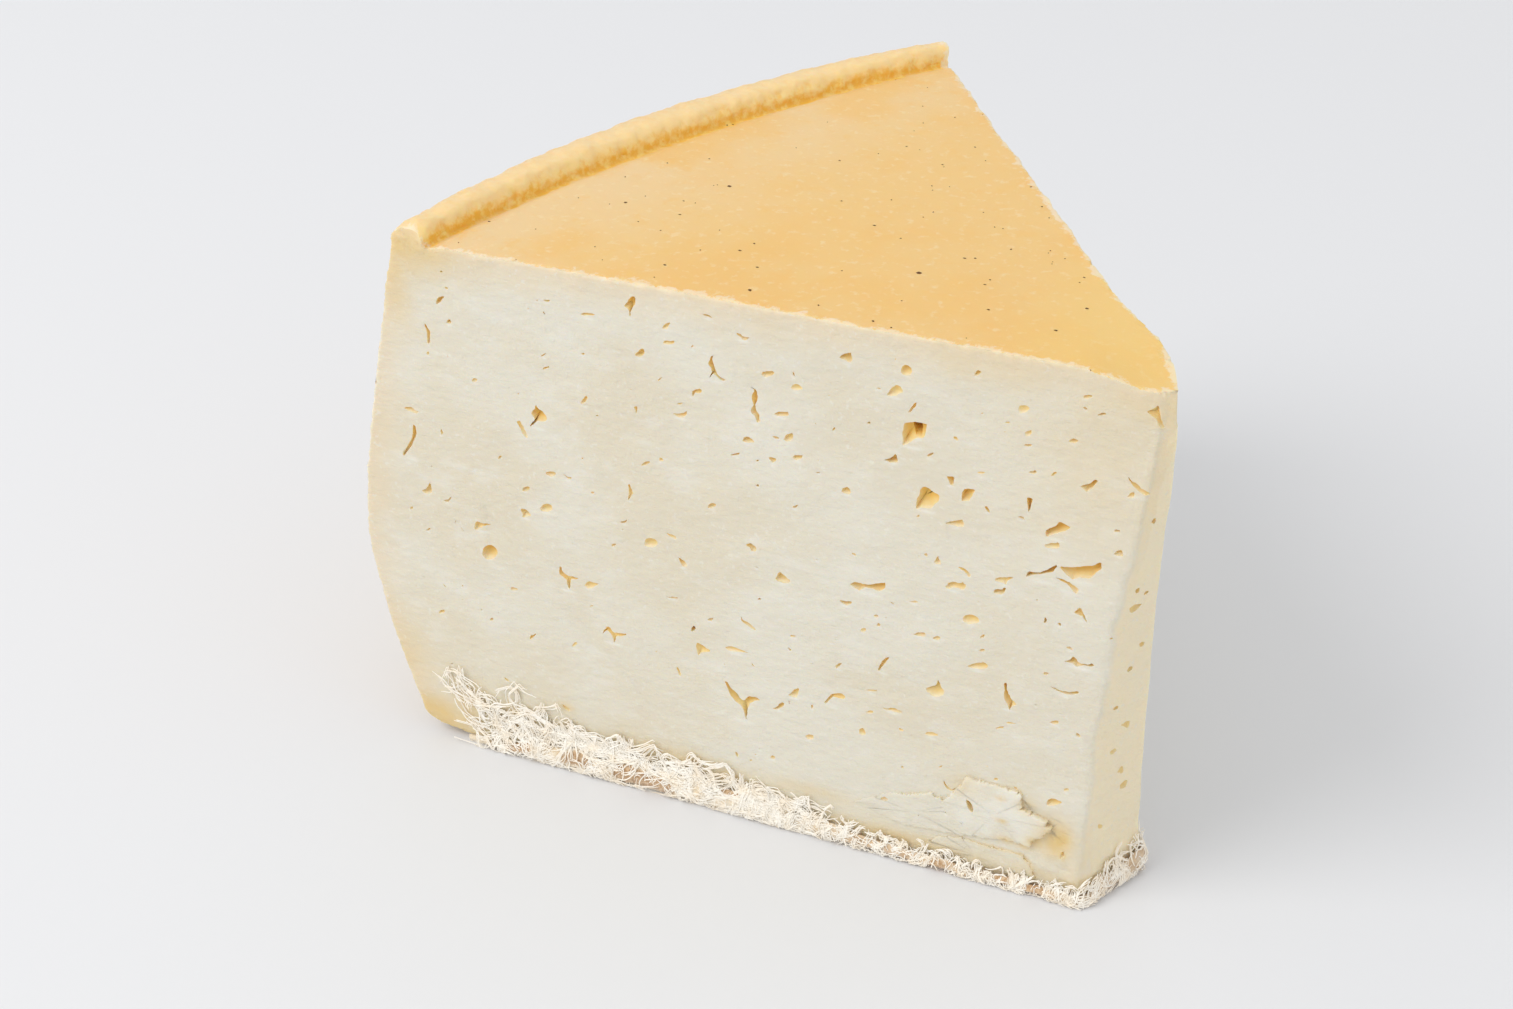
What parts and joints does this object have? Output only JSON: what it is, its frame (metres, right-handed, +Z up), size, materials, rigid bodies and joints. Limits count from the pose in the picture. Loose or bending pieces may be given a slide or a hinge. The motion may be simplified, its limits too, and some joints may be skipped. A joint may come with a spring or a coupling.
{
  "type": "cheese wedge",
  "caption": "Wedge cut from a large round cheese, with a raised rim round its flat top, small openings in its cut faces and frayed cheesecloth under its base.",
  "frame": {"origin": "middle of the part's bounding box at its underside, on the surface that the wedge stands on", "axes": "+X along the broad cut face towards the wedge's sharp end, -Y out of the broad cut face, +Z up"},
  "size_m": [0.1354, 0.1218, 0.0977],
  "materials": {
    "paste": "moist and slightly satin",
    "cheesecloth": "rough undyed cotton"
  },
  "bodies": {
    "root": {"cheese": "paste", "cloth": "cheesecloth"}
  },
  "joints": []
}
